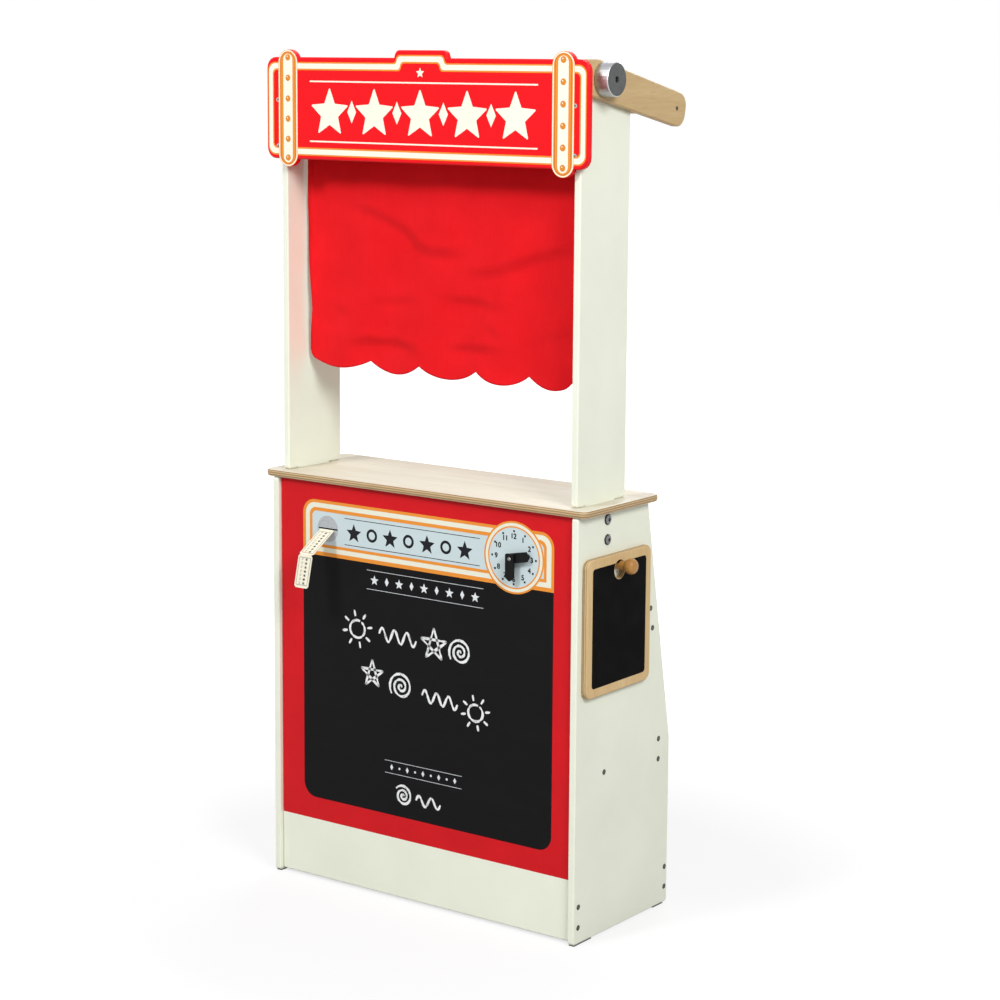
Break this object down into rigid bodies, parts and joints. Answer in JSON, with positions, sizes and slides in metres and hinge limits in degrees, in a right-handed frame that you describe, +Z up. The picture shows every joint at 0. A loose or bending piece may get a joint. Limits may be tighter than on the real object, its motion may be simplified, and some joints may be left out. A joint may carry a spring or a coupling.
{
  "type": "puppet theatre stand",
  "caption": "Children's puppet theatre stand: shelf cabinet with blackboard, play clock and slate, counter, uprights with a sign board, curtain and sloping arms.",
  "frame": {"origin": "middle of the footprint's bounding box, on the floor", "axes": "+X to the right as the audience sees it, +Y to the back, +Z up"},
  "size_m": [0.566, 0.2904, 1.1515],
  "materials": {
    "cream_board": "satin cream lacquer",
    "front_print": "satin print",
    "sign_print": "satin print",
    "plywood": "clear lacquer",
    "beech": "clear lacquer",
    "slate_paint": "matt board paint inside a bare margin",
    "cloth": "plain weave",
    "black_plastic": "satin",
    "knob_metal": "polished side, satin face",
    "dark_steel": "black zinc",
    "bright_steel": "bright",
    "glide_rubber": "matt",
    "ticket_paper": "matt"
  },
  "bodies": {
    "stand": {"side_panel_left": "cream_board", "side_panel_right": "cream_board", "front_panel": "front_print", "counter_top": "plywood", "upper_shelf": "cream_board", "middle_shelf": "cream_board", "bottom_shelf": "cream_board", "upper_rail": "cream_board", "middle_rail": "cream_board", "kick_rail": "cream_board", "upright_left": "cream_board", "upright_right": "cream_board", "sign_board": "sign_print", "arm_left": "beech", "arm_right": "beech", "awning_rail": "beech", "awning_rail_screw_left": "dark_steel", "awning_rail_screw_right": "dark_steel", "curtain_rod": "beech", "clock_spacer": "black_plastic", "clock_pin": "bright_steel", "ticket_box": "plywood", "slate_peg": "beech", "glide_front_left": "glide_rubber", "glide_rear_left": "glide_rubber", "glide_front_right": "glide_rubber", "glide_rear_right": "glide_rubber", "upright_bolt_left_upper": "dark_steel", "upright_bolt_left_lower": "dark_steel", "upright_bolt_right_upper": "dark_steel", "upright_bolt_right_lower": "dark_steel", "sign_screw_left_upper": "dark_steel", "sign_screw_left_lower": "dark_steel", "sign_screw_right_upper": "dark_steel", "sign_screw_right_lower": "dark_steel", "upper_rail_screw_upper_left": "dark_steel", "upper_rail_screw_lower_left": "dark_steel", "middle_rail_screw_upper_left": "dark_steel", "middle_rail_screw_lower_left": "dark_steel", "kick_rail_screw_upper_left": "dark_steel", "kick_rail_screw_lower_left": "dark_steel", "front_panel_screw_upper_left": "dark_steel", "front_panel_screw_lower_left": "dark_steel", "middle_shelf_screw_left": "dark_steel", "upper_rail_screw_upper_right": "dark_steel", "upper_rail_screw_lower_right": "dark_steel", "middle_rail_screw_upper_right": "dark_steel", "middle_rail_screw_lower_right": "dark_steel", "kick_rail_screw_upper_right": "dark_steel", "kick_rail_screw_lower_right": "dark_steel", "front_panel_screw_upper_right": "dark_steel", "front_panel_screw_lower_right": "dark_steel", "middle_shelf_screw_right": "dark_steel"},
    "left_knob": {"knob_left": "knob_metal"},
    "right_knob": {"knob_right": "knob_metal"},
    "curtain_cloth": {"curtain": "cloth"},
    "hours": {"hour_hand": "black_plastic"},
    "minutes": {"minute_hand": "black_plastic"},
    "tickets": {"ticket_strip": "ticket_paper"},
    "slate": {"slate_board": "slate_paint"}
  },
  "joints": [
    {"name": "knob_left_turn", "type": "hinge", "parent": "stand", "child": "left_knob", "pos_m": [-0.273, -0.05034, 1.117], "axis": [1, 0, 0], "continuous": true},
    {"name": "knob_right_turn", "type": "hinge", "parent": "stand", "child": "right_knob", "pos_m": [0.262, -0.05034, 1.117], "axis": [1, 0, 0], "continuous": true},
    {"name": "curtain_swing", "type": "hinge", "parent": "stand", "child": "curtain_cloth", "pos_m": [-0.0055, -0.04384, 1.084], "axis": [1, 0, 0], "range_deg": [-18, 75]},
    {"name": "hour_hand_turn", "type": "hinge", "parent": "stand", "child": "hours", "pos_m": [0.1473, -0.09444, 0.5023], "axis": [0, 1, 0], "continuous": true},
    {"name": "minute_hand_turn", "type": "hinge", "parent": "stand", "child": "minutes", "pos_m": [0.1473, -0.09794, 0.5023], "axis": [0, 1, 0], "continuous": true},
    {"name": "ticket_pull", "type": "slide", "parent": "stand", "child": "tickets", "axis": [0, -1, 0], "range_m": [0, 0.02]},
    {"name": "slate_swing", "type": "hinge", "parent": "stand", "child": "slate", "pos_m": [0.2558, -0.01014, 0.4887], "axis": [1, 0, 0], "range_deg": [-24, 70]}
  ]
}
